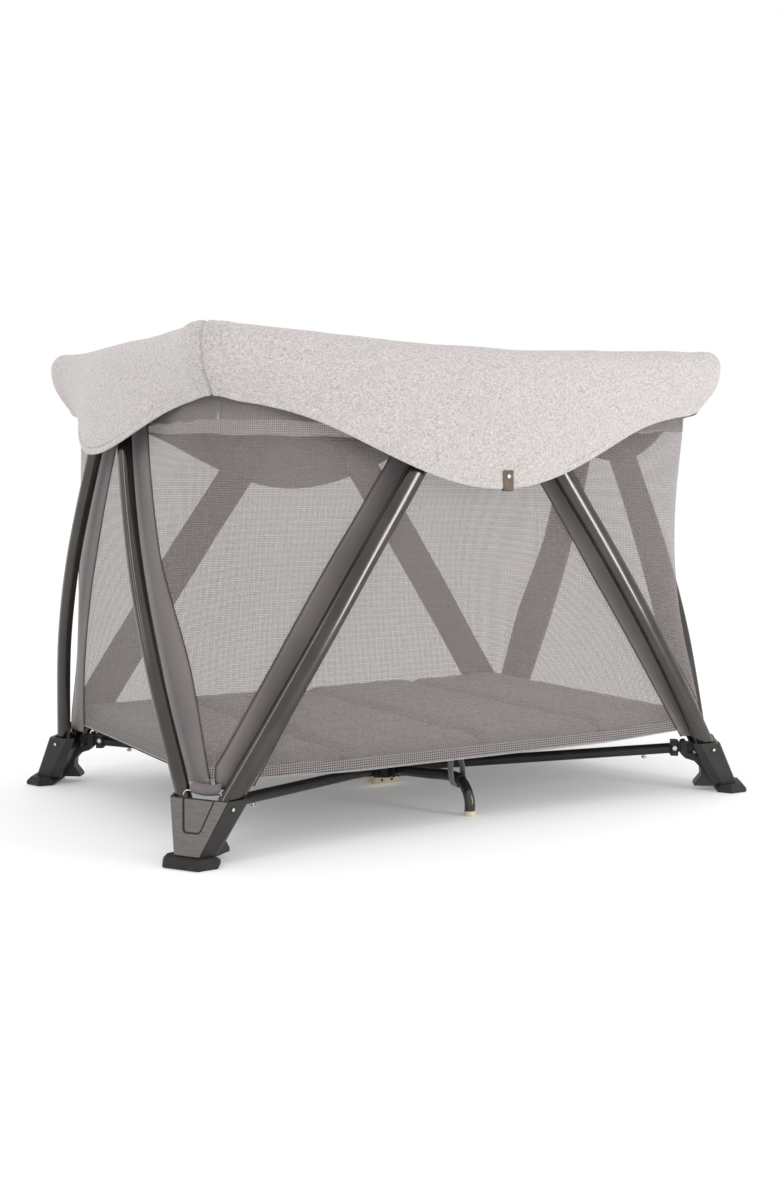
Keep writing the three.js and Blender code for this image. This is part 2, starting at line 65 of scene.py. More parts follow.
LONG_LEG_LINE = [
    (447, 335, 80), (437, 336, 96), (368, 341, 203), (295, 342, 315),
    (217, 337, 431), (142, 329.5, 538), (41, 316, 690),
]
SHORT_LEG_LINE = [
    (488, 276, 80), (489.5, 270, 96), (506, 205, 264), (508, 145, 404),
    (495, 72, 570), (480, 28, 690),
]
SUPPORT_LINE = [
    (0, 62, 36.9), (0, 150, 46.8), (0, 222, 54.9), (0, 250, 52), (0, 267, 38), (0, 274.6, 22), (0, 275, 8),
]
ARM_HUB = (45, 35)
ARM_FOOT = (532.6, 75)

# Half sizes of the tub in plan, at its lower and upper edge.
TUB_LOW = (464.5, 320.5)
TUB_HIGH = (459.5, 301)
TUB_HEIGHTS = (112, 665)
TUB_CORNER = (26, 126, 80)             # corner radius at the foot, half way up and under the cover
TUB_LENGTH = {"long": 457, "short": 305}
SHORT_WALL_BELLY = 23                  # the short walls are drawn out to their legs half way up
WALL_TOP = 668
BORDER_HEIGHT = 18
STRIP_CORNER = {"long": 458, "short": 314}
STRIP_ENDS = (99, 664)

# The cover runs round the rails on this line, with its section measured out from it.
COVER_LINE = (452.5, 299)
COVER_CORNER = 22
COVER_HALF = {"long": 27, "short": 19.5, "corner": 23}
COVER_BULGE = {"long": 29, "short": 49}
COVER_HEM = {"long": 521, "short": 574, "corner": 651}
COVER_TOP = {"long": 738, "short": 749, "corner": 751}
COVER_LENGTH = {"long": 472, "short": 326}
COVER_COLUMNS = {"long": 104, "short": 76}
LINING_HEM = 620
STITCH_PITCH = 4.6

# How much further out the outer skirt stands at a corner seam, from its hem up to the crown.
CORNER_FLARE = [-18, -1, 12, 16, 16, 13, 0, 0, 0, 0, 0, 0]

MATTRESS_SEAMS = [-460, -250, 0, 235, 460]
MATTRESS_HALF_WIDTH = 313
MATTRESS_HEIGHTS = (108.3, 139.5)
MATTRESS_NAMES = ["mattress_left", "mattress_middle_left", "mattress_middle_right", "mattress_right"]
MATTRESS_BODIES = ["mattress_left", "mattress_middle", "mattress_middle", "mattress_right"]


def metres(x, y, z):
    return Vector((x, y, z)) / 1000


def near_corner(along, across, height, corner):
    """A point near a foot: along the diagonal, across it and up, at one of the four corners."""
    side_x, side_y = CORNERS[corner]
    c = math.cos(DIAGONAL)
    s = math.sin(DIAGONAL)
    return metres(side_x * (along * c - across * s), side_y * (along * s + across * c), height)


def ease(value, start, end):
    t = min(1.0, max(0.0, (value - start) / (end - start)))
    return t * t * (3 - 2 * t)


def mix(a, b, share):
    return a + (b - a) * share


def kind_of(side):
    return "long" if side in ("front", "back") else "short"


# ------------------------------------------------------------------ node materials

def new_material(name, colour, roughness, **sockets):
    """A Principled material with its plain values set on its own sockets."""
    look = bpy.data.materials.new(name)
    look.use_nodes = True
    shader = look.node_tree.nodes["Principled BSDF"]
    shader.inputs["Base Color"].default_value = (*colour, 1)
    shader.inputs["Roughness"].default_value = roughness
    for key, value in sockets.items():
        shader.inputs[key.replace("_", " ")].default_value = value
    look.diffuse_color = (*colour, 1)
    return look


def add_node(look, kind, inputs=None, **settings):
    """A node whose inputs are values or other nodes' outputs."""
    tree = look.node_tree
    node = tree.nodes.new("ShaderNode" + kind)
    for key, value in settings.items():
        setattr(node, key, value)
    for key, value in (inputs or {}).items():
        if isinstance(value, bpy.types.NodeSocket):
            tree.links.new(value, node.inputs[key])
        else:
            node.inputs[key].default_value = value
    return node


def connect(look, socket, output):
    shader = look.node_tree.nodes["Principled BSDF"]
    look.node_tree.links.new(output, shader.inputs[socket])


def place(look, stretch=(1, 1, 1)):
    where = add_node(look, "TexCoord").outputs["Object"]
    return add_node(look, "Mapping", {"Vector": where, "Scale": stretch}).outputs["Vector"]


def noise_at(look, scale, stretch=(1, 1, 1), detail=2.0):
    node = add_node(look, "TexNoise", {"Vector": place(look, stretch), "Scale": scale, "Detail": detail})
    return node.outputs["Fac"]


def math_node(look, operation, a, b=0.0):
    return add_node(look, "Math", {0: a, 1: b}, operation=operation).outputs[0]


def tint(look, value, *stops):
    """The base colour along a value, from (position, colour) pairs."""
    node = add_node(look, "ValToRGB", {"Fac": value})
    band = node.color_ramp
    while len(band.elements) < len(stops):
        band.elements.new(0.5)
    for element, (position, colour) in zip(band.elements, stops):
        element.position = position
        element.color = (*colour, 1)
    connect(look, "Base Color", node.outputs["Color"])


def levels(look, value, low, high, start=0.0, end=1.0):
    """A value from start to end, carried over to low to high."""
    node = add_node(look, "MapRange", {"Value": value, "From Min": start, "From Max": end,
                                       "To Min": low, "To Max": high})
    return node.outputs["Result"]


def add_bump(look, height, strength, distance):
    node = add_node(look, "Bump", {"Height": height, "Strength": strength, "Distance": distance})
    connect(look, "Normal", node.outputs["Normal"])


def woven(look, scale, first=(0.2, 0.2, 1), second=(1, 1, 0.2)):
    """Threads that run both ways: noise drawn out along one and then the other."""
    return math_node(look, "ADD", noise_at(look, scale, first), noise_at(look, scale, second))


def plus_part(look, value, other, part):
    """A value with a part of another added."""
    return math_node(look, "ADD", value, math_node(look, "MULTIPLY", other, part))


def heather_fabric():
    """A melange weave: pale and darker threads run both ways."""
    look = new_material("heather_fabric", (0.53, 0.495, 0.475), 0.92, Sheen_Weight=0.2, Sheen_Roughness=0.6)
    threads = woven(look, 880, (0.22, 0.22, 1), (1, 1, 0.22))
    mixed = plus_part(look, threads, noise_at(look, 380, detail=3), 0.3)
    tint(look, levels(look, mixed, 0, 1, 0.8, 1.5),
         (0.0, (0.27, 0.248, 0.24)), (0.35, (0.42, 0.389, 0.375)),
         (0.65, (0.525, 0.49, 0.475)), (1.0, (0.62, 0.585, 0.57)))
    add_bump(look, threads, 0.4, 0.0006)
    return look


def lining_fabric():
    look = new_material("lining_fabric", (0.30, 0.285, 0.275), 0.9, Sheen_Weight=0.15)
    threads = woven(look, 700)
    tint(look, levels(look, threads, 0, 1, 0.7, 1.3), (0.0, (0.24, 0.225, 0.218)), (1.0, (0.37, 0.35, 0.34)))
    add_bump(look, threads, 0.25, 0.0005)
    return look


def strip_fabric():
    """The smooth mauve-grey woven strips behind the legs."""
    look = new_material("strip_fabric", (0.165, 0.14, 0.14), 0.72, Sheen_Weight=0.35, Sheen_Roughness=0.45)
    threads = woven(look, 900)
    tone = plus_part(look, noise_at(look, 9, detail=3), threads, 0.25)
    tint(look, levels(look, tone, 0, 1, 0.45, 1.05),
         (0.0, (0.125, 0.106, 0.107)), (1.0, (0.205, 0.175, 0.174)))
    add_bump(look, threads, 0.2, 0.0004)
    return look


def piping_fabric():
    look = new_material("piping_fabric", (0.065, 0.057, 0.057), 0.8)
    add_bump(look, noise_at(look, 1500), 0.3, 0.0003)
    return look


def net(look, pitch):
    """Plus and minus by turns in diamonds that repeat at that pitch, laid out on the flat cloth."""
    cloth = add_node(look, "Attribute", attribute_name="cloth").outputs["Vector"]
    where = add_node(look, "SeparateXYZ", {"Vector": cloth})
    waves = []
    for way in ("ADD", "SUBTRACT"):
        slanted = math_node(look, way, where.outputs["X"], where.outputs["Y"])
        waves.append(math_node(look, "SINE", math_node(look, "MULTIPLY", slanted, math.pi / pitch)))
    return math_node(look, "MULTIPLY", *waves)


def mesh_fabric():
    """See-through knitted mesh: small diamond holes between threads."""
    look = new_material("mesh_fabric", (0.238, 0.208, 0.20), 0.85, Sheen_Weight=0.2)
    connect(look, "Alpha", levels(look, net(look, 0.0032), 0.76, 0.28, -0.5, 0.5))
    tint(look, noise_at(look, 260), (0.3, (0.2125, 0.1845, 0.177)), (0.7, (0.272, 0.24, 0.231)))
    return look


def border_mesh():
    """The coarser open mesh along the tub's lower border, its holes painted dark as painted shade."""
    look = new_material("border_mesh", (0.3, 0.28, 0.27), 0.85)
    holes = net(look, 0.0036)
    # painted shade: the holes take the dark colour and stay mostly opaque, in place of the shade seen through
    # them
    tint(look, levels(look, holes, 0, 1, -0.35, 0.35),
         (0.0, (0.29, 0.268, 0.257)), (1.0, (0.10, 0.092, 0.089)))
    connect(look, "Alpha", levels(look, holes, 1.0, 0.75, -0.3, 0.5))
    add_bump(look, holes, 0.5, 0.0008)
    return look


def floor_fabric():
    look = new_material("floor_fabric", (0.10, 0.095, 0.092), 0.9)
    threads = woven(look, 800, (0.2, 1, 1), (1, 0.2, 1))
    tint(look, levels(look, threads, 0, 1, 0.7, 1.3),
         (0.0, (0.075, 0.07, 0.068)), (1.0, (0.145, 0.138, 0.133)))
    add_bump(look, threads, 0.3, 0.0005)
    return look


def mattress_fabric():
    look = new_material("mattress_fabric", (0.30, 0.278, 0.265), 0.93, Sheen_Weight=0.2)
    threads = woven(look, 520, (0.18, 1, 1), (1, 0.18, 1))
    tone = plus_part(look, threads, noise_at(look, 14, detail=3), 0.5)
    tint(look, levels(look, tone, 0, 1, 0.8, 1.7),
         (0.0, (0.13, 0.117, 0.110)), (0.5, (0.175, 0.16, 0.151)), (1.0, (0.22, 0.202, 0.192)))
    add_bump(look, threads, 0.35, 0.0006)
    return look


def webbing_fabric():
    look = new_material("webbing_fabric", (0.23, 0.235, 0.245), 0.75, Sheen_Weight=0.2)
    wave = add_node(look, "TexWave", {"Vector": place(look), "Scale": 190.0}, bands_direction="Z")
    ribs = wave.outputs["Fac"]
    tint(look, ribs, (0.2, (0.16, 0.163, 0.17)), (0.8, (0.30, 0.305, 0.315)))
    add_bump(look, ribs, 0.4, 0.0005)
    return look


def bronze_paint():
    """Dark bronze metallic paint with a fine flake and faintly uneven patches."""
    look = new_material("bronze_paint", (0.06, 0.055, 0.05), 0.3, Metallic=0.8, Coat_Weight=0.15,
                        Coat_Roughness=0.12)
    flake = noise_at(look, 2600, detail=1)
    broad = noise_at(look, 18, detail=4)
    tone = plus_part(look, broad, flake, 0.45)
    tint(look, levels(look, tone, 0, 1, 0.4, 1.05),
         (0.0, (0.052, 0.047, 0.042)), (1.0, (0.082, 0.075, 0.068)))
    connect(look, "Roughness", levels(look, broad, 0.14, 0.21, 0.3, 0.7))
    add_bump(look, flake, 0.05, 0.0002)
    return look


def moulded_plastic(name, dark, light, roughness=0.52):
    """Moulded plastic with a fine spark-eroded grain and faint rubbed patches."""
    look = new_material(name, dark, roughness, Specular_IOR_Level=0.35)
    grain = noise_at(look, 1400, detail=3)
    rubbed = noise_at(look, 22, detail=4)
    tint(look, rubbed, (0.3, dark), (0.75, light))
    connect(look, "Roughness", levels(look, rubbed, roughness - 0.08, roughness + 0.1, 0.3, 0.7))
    add_bump(look, grain, 0.22, 0.0003)
    return look


def face_plastic():
    """The brushed bronze-grey face of a foot."""
    look = new_material("face_plastic", (0.13, 0.12, 0.112), 0.42, Metallic=0.55)
    brushed = noise_at(look, 420, (0.12, 0.12, 1.6), detail=3)
    tint(look, brushed, (0.3, (0.104, 0.095, 0.088)), (0.7, (0.154, 0.143, 0.134)))
    connect(look, "Roughness", levels(look, brushed, 0.36, 0.5, 0.3, 0.7))
    add_bump(look, brushed, 0.12, 0.0002)
    return look


def rubber():
    look = new_material("rubber", (0.018, 0.018, 0.018), 0.7, Specular_IOR_Level=0.35)
    dust = noise_at(look, 60, detail=5)
    tint(look, dust, (0.35, (0.014, 0.014, 0.014)), (0.8, (0.032, 0.032, 0.031)))
    add_bump(look, noise_at(look, 1100, detail=3), 0.3, 0.0004)
    return look


def cream_plastic():
    """Cream moulded plastic that lets a little light through."""
    look = new_material("cream_plastic", (0.66, 0.56, 0.40), 0.45, Subsurface_Weight=0.15,
                        Subsurface_Scale=0.004)
    tint(look, noise_at(look, 30, detail=3), (0.3, (0.60, 0.50, 0.35)), (0.7, (0.70, 0.60, 0.44)))
    add_bump(look, noise_at(look, 900), 0.1, 0.0003)
    return look


def bright_steel():
    look = new_material("bright_steel", (0.62, 0.61, 0.60), 0.28, Metallic=1.0)
    worn = noise_at(look, 300, detail=4)
    connect(look, "Roughness", levels(look, worn, 0.2, 0.42, 0.3, 0.7))
    return look


def tag_leather():
    look = new_material("tag_leather", (0.115, 0.072, 0.05), 0.58)
    cells = add_node(look, "TexVoronoi", {"Vector": place(look), "Scale": 950.0})
    tint(look, noise_at(look, 90, detail=4), (0.3, (0.09, 0.056, 0.038)), (0.7, (0.15, 0.098, 0.07)))
    add_bump(look, cells.outputs["Distance"], 0.45, 0.0005)
    return look


def backdrop():
    look = new_material("backdrop", (0.85, 0.85, 0.85), 0.85, Emission_Color=(1, 1, 1, 1),
                        Emission_Strength=0.17)
    connect(look, "Roughness", levels(look, noise_at(look, 3), 0.8, 0.9))
    return look


HEATHER = heather_fabric()
LINING = lining_fabric()
STRIP = strip_fabric()
PIPING = piping_fabric()
MESH = mesh_fabric()
BORDER = border_mesh()
FLOOR_CLOTH = floor_fabric()
MATTRESS = mattress_fabric()
WEBBING = webbing_fabric()
BRONZE = bronze_paint()
BLACK_TUBE = moulded_plastic("black_tube_paint", (0.014, 0.014, 0.015), (0.026, 0.026, 0.027), 0.38)
BLACK = moulded_plastic("black_moulding", (0.017, 0.017, 0.018), (0.03, 0.03, 0.031))
FOOT = moulded_plastic("foot_moulding", (0.020, 0.018, 0.017), (0.032, 0.029, 0.027), 0.5)
FACE = face_plastic()
RUBBER = rubber()
CREAM = cream_plastic()
STEEL = bright_steel()
LEATHER = tag_leather()


# ------------------------------------------------------------------ mesh building

def add_mesh(name, points, faces, looks):
    """A smooth mesh object with its faces turned outwards."""
    mesh = bpy.data.meshes.new(name)
    mesh.from_pydata([tuple(p) for p in points], [], faces)
    build = bmesh.new()
    build.from_mesh(mesh)
    bmesh.ops.recalc_face_normals(build, faces=build.faces)
    build.to_mesh(mesh)
    build.free()
    for look in looks if isinstance(looks, (list, tuple)) else [looks]:
        mesh.materials.append(look)
    mesh.polygons.foreach_set("use_smooth", [True] * len(mesh.polygons))
    piece = bpy.data.objects.new(name, mesh)
    bpy.context.scene.collection.objects.link(piece)
    return piece


def grid_faces(rows, columns, closed):
    last = columns if closed else columns - 1
    return [
        (r * columns + c, r * columns + (c + 1) % columns,
         (r + 1) * columns + (c + 1) % columns, (r + 1) * columns + c)
        for r in range(rows - 1) for c in range(last)
    ]


def surface(name, rows, looks, closed=False):
    """A surface through rows of points; a closed one joins each row's ends and has both ends shut."""
    columns = len(rows[0])
    faces = grid_faces(len(rows), columns, closed)
    if closed:
        faces.append(tuple(reversed(range(columns))))
        start = (len(rows) - 1) * columns
        faces.append(tuple(range(start, start + columns)))
    return add_mesh(name, [p for row in rows for p in row], faces, looks)


def smooth_line(points, steps):
    """A centripetal Catmull-Rom curve through the points."""
    points = [Vector(p) for p in points]
    ends = [2 * points[0] - points[1], *points, 2 * points[-1] - points[-2]]
    out = []
    for k in range(steps + 1):
        place_on = k / steps * (len(points) - 1)
        i = min(int(place_on), len(points) - 2)
        p = ends[i:i + 4]
        t = [0.0]
        for a, b in zip(p, p[1:]):
            t.append(t[-1] + max((b - a).length, 1e-9) ** 0.5)
        u = t[1] + (t[2] - t[1]) * (place_on - i)
        a1 = p[0] * ((t[1] - u) / (t[1] - t[0])) + p[1] * ((u - t[0]) / (t[1] - t[0]))
        a2 = p[1] * ((t[2] - u) / (t[2] - t[1])) + p[2] * ((u - t[1]) / (t[2] - t[1]))
        a3 = p[2] * ((t[3] - u) / (t[3] - t[2])) + p[3] * ((u - t[2]) / (t[3] - t[2]))
        b1 = a1 * ((t[2] - u) / (t[2] - t[0])) + a2 * ((u - t[0]) / (t[2] - t[0]))
        b2 = a2 * ((t[3] - u) / (t[3] - t[1])) + a3 * ((u - t[1]) / (t[3] - t[1]))
        out.append(b1 * ((t[2] - u) / (t[2] - t[1])) + b2 * ((u - t[1]) / (t[2] - t[1])))
    return out


def sweep(name, line, outline, depth, look):
    """A closed tube along a line. The outline's second axis stays as near to depth as it can."""
    rows = []
    for k, centre in enumerate(line):
        along = (line[min(k + 1, len(line) - 1)] - line[max(k - 1, 0)]).normalized()
        wide = along.cross(depth).normalized()
        deep = wide.cross(along).normalized()
        rows.append([centre + wide * w + deep * d for w, d in outline])
    return surface(name, rows, look, closed=True)


def ring(radius, sides=20):
    return [(radius * math.cos(2 * math.pi * i / sides), radius * math.sin(2 * math.pi * i / sides))
            for i in range(sides)]


def slab(name, outline, place_point, depth, look, bevel=0.0006):
    """A plate: an outline of (u, v) points, from its face at 0 to its depth, with soft edges."""
    count = len(outline)
    low = [place_point(u, v, 0) for u, v in outline]
    high = [place_point(u, v, depth) for u, v in outline]
    faces = [tuple(range(count)), tuple(range(count, 2 * count))]
    faces += [(i, (i + 1) % count, count + (i + 1) % count, count + i) for i in range(count)]
    piece = add_mesh(name, low + high, faces, look)
    soften(piece, bevel)
    return piece


def soften(piece, width, segments=3):
    rounding = piece.modifiers.new("soft_edges", "BEVEL")
    rounding.width = width
    rounding.segments = segments
    rounding.limit_method = "ANGLE"
    rounding.angle_limit = math.radians(35)
    rounding.harden_normals = True


def settled(piece):
    """The piece with its modifiers worked into its mesh."""
    graph = bpy.context.evaluated_depsgraph_get()
    mesh = bpy.data.meshes.new_from_object(piece.evaluated_get(graph))
    piece.modifiers.clear()
    piece.data = mesh
    return piece


def subdivided(piece):
    step = piece.modifiers.new("finer", "SUBSURF")
    step.levels = 1
    step.render_levels = 1
    return settled(piece)


def thickened(piece, thickness, inner_look=0):
    """A sheet given its cloth's thickness, inwards from where it is."""
    step = piece.modifiers.new("cloth", "SOLIDIFY")
    step.thickness = thickness
    step.offset = -1
    step.material_offset = inner_look
    step.material_offset_rim = 0
    return settled(piece)


def button(name, centre, direction, radius, height, look):
    """A domed rivet or screw head."""
    direction = direction.normalized()
    side = direction.orthogonal().normalized()
    other = direction.cross(side)
    rows = []
    for share, rise in ((1.0, 0.0), (1.0, 0.35), (0.93, 0.62), (0.75, 0.84), (0.45, 0.97), (0.06, 1.0)):
        rows.append([centre + direction * (rise * height) + (side * c + other * s) * share
                     for c, s in ring(radius, 20)])
    return surface(name, rows, look, closed=True)


def wave_noise(point, size, seed=0.0):
    """Smooth noise from -1 to 1 with features of about that size, in metres."""
    return noise.noise(point / size + Vector((seed, seed * 1.7, seed * 0.3)))


# ------------------------------------------------------------------ CAD nodes that stay

def smoothing_group():
    """Joins a CAD node's split faces and shades it smooth, except over sharp edges."""
    group = bpy.data.node_groups.new("smooth_by_angle", "GeometryNodeTree")
    group.interface.new_socket("Geometry", in_out="INPUT", socket_type="NodeSocketGeometry")
    group.interface.new_socket("Geometry", in_out="OUTPUT", socket_type="NodeSocketGeometry")
    start = group.nodes.new("NodeGroupInput")
    merge = group.nodes.new("GeometryNodeMergeByDistance")
    merge.inputs["Distance"].default_value = 0.00002
    plain = group.nodes.new("GeometryNodeRemoveAttribute")
    plain.inputs["Name"].default_value = "custom_normal"
    smooth = group.nodes.new("GeometryNodeSetShadeSmooth")
    angle = group.nodes.new("GeometryNodeInputMeshEdgeAngle")
    sharp = group.nodes.new("FunctionNodeCompare")
    sharp.data_type = "FLOAT"
    sharp.operation = "GREATER_THAN"
    sharp.inputs["B"].default_value = math.radians(32)
    edges = group.nodes.new("GeometryNodeSetShadeSmooth")
    edges.domain = "EDGE"
    edges.inputs["Shade Smooth"].default_value = False
    end = group.nodes.new("NodeGroupOutput")
    chain = [(start, "Geometry", merge), (merge, "Geometry", plain), (plain, "Geometry", smooth),
             (smooth, "Geometry", edges), (edges, "Geometry", end)]
    for source, output, target in chain:
        group.links.new(source.outputs[output], target.inputs["Geometry"])
    group.links.new(angle.outputs["Unsigned Angle"], sharp.inputs["A"])
    group.links.new(sharp.outputs["Result"], edges.inputs["Selection"])
    return group


SMOOTHING = smoothing_group()


def dress(node, look, bevel=0.0):
    """Gives a CAD node its material, joined faces and softened edges."""
    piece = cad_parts[node]
    piece.data.materials.clear()
    piece.data.materials.append(look)
    shading = piece.modifiers.new("smoothing", "NODES")
    shading.node_group = SMOOTHING
    if bevel:
        soften(piece, bevel, 2)


def dress_cad_nodes():
    dress("floor_hub", BLACK, 0.0009)
    dress("floor_hub_base_plate", CREAM, 0.0012)
    dress("fold_pull_handle", BLACK, 0.0009)
    for corner in CORNERS:
        dress("floor_arm_" + corner, BLACK_TUBE)
        dress("arm_end_fitting_" + corner, BLACK, 0.0012)
        dress("foot_housing_" + corner, FOOT, 0.0011)
        dress("foot_pad_" + corner, RUBBER, 0.0014)
        dress("long_rail_" + corner, BLACK_TUBE)
        dress("short_rail_" + corner, BLACK_TUBE)
        dress("corner_joint_" + corner, BLACK, 0.001)
    for side in ("front", "back"):
        dress("long_hub_" + side, BLACK, 0.0009)
        dress("support_leg_tip_" + side, CREAM, 0.0008)
    for side in ("left", "right"):
        dress("short_hub_" + side, BLACK, 0.0008)


# ------------------------------------------------------------------ legs, arms and feet

def leg_outline(half_width, half_depth, sides=64):
    """An oval drawn a little square, with a fine groove near both edges of each broad face."""
    grooves = [math.radians(a) for a in (52, 128, 232, 308)]
    outline = []
    for i in range(sides):
        turn = 2 * math.pi * i / sides
        w = half_width * math.copysign(abs(math.cos(turn)) ** 0.88, math.cos(turn))
        d = half_depth * math.copysign(abs(math.sin(turn)) ** 0.88, math.sin(turn))
        cut = sum(math.exp(-((turn - g) / 0.06) ** 2) for g in grooves)
        shrink = 1 - 0.07 * cut
        outline.append((w * shrink / 1000, d * shrink / 1000))
    return outline


def overrun(line, foot, top):
    points = [Vector(p) for p in line]
    start = points[0] + (points[0] - points[1]).normalized() * foot
    end = points[-1] + (points[-1] - points[-2]).normalized() * top
    return [start, *points, end]


def corner_line(line, corner, steps):
    side_x, side_y = CORNERS[corner]
    return [metres(side_x * p.x, side_y * p.y, p.z) for p in smooth_line(line, steps)]


def add_legs():
    kinds = [("long_leg_", LONG_LEG_LINE, (16, 11.5), Vector((0, 1, 0))),
             ("short_leg_", SHORT_LEG_LINE, (12, 11), Vector((1, 0, 0)))]
    for corner in CORNERS:
        for node, line, (half_width, half_depth), depth in kinds:
            path = corner_line(overrun(line, 3, 11), corner, 48)
            leg = sweep(node + corner + "_tube", path, leg_outline(half_width, half_depth), depth, BRONZE)
            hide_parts(node + corner)
            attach(leg, node + corner)


def foot_face_point(corner):
    """Places a point on a foot's outer face: across it, up it, and out of it, in mm."""
    rise = Vector((TOP_FACE[0] - BASE_FACE[0], FOOT_TOP - FOOT_BASE)).normalized()

    def point(u, v, lift):
        along = BASE_FACE[0] + rise.x * v + rise.y * lift
        height = FOOT_BASE + rise.y * v - rise.x * lift
        return near_corner(along, FOOT_MIDDLE + u, height, corner)
    return point


def mirrored(half):
    """A whole outline from its right half."""
    return half + [(-u, v) for u, v in reversed(half)]


def add_foot_faces():
    """The bronze-grey face of each foot, with a sunk panel inside a U-shaped groove."""
    frame_outline = mirrored([(20.4, 0.6), (47.0, 80.4), (26.6, 80.4), (15.5, 37.0), (13.2, 33.4),
                              (9.6, 31.8)])
    panel_outline = mirrored([(8.2, 34.4), (11.2, 35.6), (13.0, 38.8), (23.8, 80.0)])
    for corner in CORNERS:
        point = foot_face_point(corner)
        pieces = [slab("foot_face_" + corner, frame_outline, point, 2.0, FACE),
                  slab("foot_panel_" + corner, panel_outline, point, 0.9, FACE, 0.0005)]
        for side in (-1, 1):
            pieces += side_screw(corner, side)
        for piece in pieces:
            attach(piece, "foot_" + corner)


def side_screw(corner, side):
    """The screw on a foot's side face, in a dark collar."""
    def on_face(out, up):
        low = Vector(BASE_FACE).lerp(Vector(BASE_SIDE), out)
        high = Vector(TOP_FACE).lerp(Vector(TOP_SIDE), out)
        spot = low.lerp(high, up)
        return near_corner(spot.x, FOOT_MIDDLE + side * spot.y, mix(FOOT_BASE, FOOT_TOP, up), corner)
    centre = on_face(0.45, 0.84)
    outwards = (on_face(1, 0.82) - on_face(0, 0.82)).cross(on_face(0.5, 1) - on_face(0.5, 0.5))
    if outwards.dot(centre - near_corner(540, FOOT_MIDDLE, 60, corner)) < 0:
        outwards.negate()
    end = "inner" if side < 0 else "outer"
    collar = button(f"foot_collar_{corner}_{end}", centre, outwards, 0.0052, 0.0011, BLACK)
    screw = button(f"foot_screw_{corner}_{end}", centre + outwards.normalized() * 0.0008, outwards,
                   0.0026, 0.0012, STEEL)
    return [collar, screw]


def arm_height(along):
    share = (along - ARM_HUB[0]) / (ARM_FOOT[0] - ARM_HUB[0])
    return mix(ARM_HUB[1], ARM_FOOT[1], share)


def add_arm_details():
    """A rivet on both sides of each arm's end fitting, and a bolt under the arm."""
    for corner in CORNERS:
        pieces = []
        for side in (-1, 1):
            centre = near_corner(506.5, side * 11.4, 74, corner)
            outwards = centre - near_corner(506.5, 0, 74, corner)
            pieces.append(button(f"arm_rivet_{corner}_{'in' if side < 0 else 'out'}", centre, outwards,
                                 0.0045, 0.0018, STEEL))
        top = near_corner(455, 0, arm_height(455) - 8.2, corner)
        drop = Vector((0, 0, -1))
        pieces.append(button("arm_bolt_" + corner, top, drop, 0.0026, 0.0075, STEEL))
        pieces.append(button("arm_nut_" + corner, top + drop * 0.0035, drop, 0.0048, 0.003, STEEL))
        for piece in pieces:
            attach(piece, "floor_arm_" + corner)


def add_support_legs():
    """A black bar from the hub, and the bent bronze foot on its end."""
    split = 30
    across = Vector((1, 0, 0))
    for side, sign in (("front", -1), ("back", 1)):
        body = "support_leg_" + side
        path = smooth_line([metres(x, sign * y, z) for x, y, z in SUPPORT_LINE], 60)
        eye_line = [metres(0, sign * 36, 35), metres(0, sign * 45, 35), metres(0, sign * 64, 36.8)]
        eye = sweep(body + "_eye", smooth_line(eye_line, 8),
                    [(w * 0.0072, d * 0.0088) for w, d in ring(1.0, 24)], Vector((0, 0, 1)), BLACK_TUBE)
        tube = sweep(body + "_bar", path[:split + 1], ring(0.009, 24), across, BLACK_TUBE)
        bend = sweep(body + "_bend", path[split - 1:], ring(0.0086, 28), across, BRONZE)
        collar = sweep(body + "_collar", path[split - 2:split + 1], ring(0.0097, 24), across, BLACK)
        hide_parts(body)
        for piece in (eye, tube, bend, collar):
            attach(piece, body)


def add_hub_screws():
    for side, y in (("front", -1), ("back", 1)):
        for end, x in (("left", -10), ("right", 10)):
            screw = button(f"plate_screw_{side}_{end}", metres(x, y * 13.0, 11.5), Vector((0, y, 0)), 0.0024,
                           0.0006, BLACK)
            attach(screw, "floor_hub")


# ------------------------------------------------------------------ the tub

def plan_point(half_x, half_y, radius, side, share):
    """A point on a rounded rectangle and its outward direction, along one side from seam to seam."""
    length, reach = (half_x, half_y) if kind_of(side) == "long" else (half_y, half_x)
    straight = length - radius
    travel = share * (straight + math.pi / 4 * radius)
    past = abs(travel) - straight
    if past <= 0:
        along, out, turn = travel, reach, 0.0
    else:
        angle = past / radius
        along = math.copysign(straight + radius * math.sin(angle), travel)
        out = reach - radius + radius * math.cos(angle)
        turn = math.copysign(angle, travel)
    if kind_of(side) == "long":
        sign = -1 if side == "front" else 1
        return Vector((along, sign * out)), Vector((math.sin(turn), sign * math.cos(turn)))
    sign = -1 if side == "left" else 1
    return Vector((sign * out, along)), Vector((sign * math.cos(turn), math.sin(turn)))


def tub_plan(height):
    """The tub's half sizes and corner radius at a height, and how slack its walls are there."""
    level = (height - TUB_HEIGHTS[0]) / (TUB_HEIGHTS[1] - TUB_HEIGHTS[0])
    foot, middle, top = TUB_CORNER
    slack = math.sin(math.pi * min(1, max(0, level)))
    radius = mix(foot, top, level) + (middle - (foot + top) / 2) * slack ** 1.5
    return mix(TUB_LOW[0], TUB_HIGH[0], level), mix(TUB_LOW[1], TUB_HIGH[1], level), radius, slack


def tub_share(side, along, height):
    """The share along a side of a place that far from the side's middle on the flat cloth, in mm."""
    half_x, half_y, radius, _ = tub_plan(height)
    straight = (half_x if kind_of(side) == "long" else half_y) - radius
    return along / (straight + math.pi / 4 * radius)


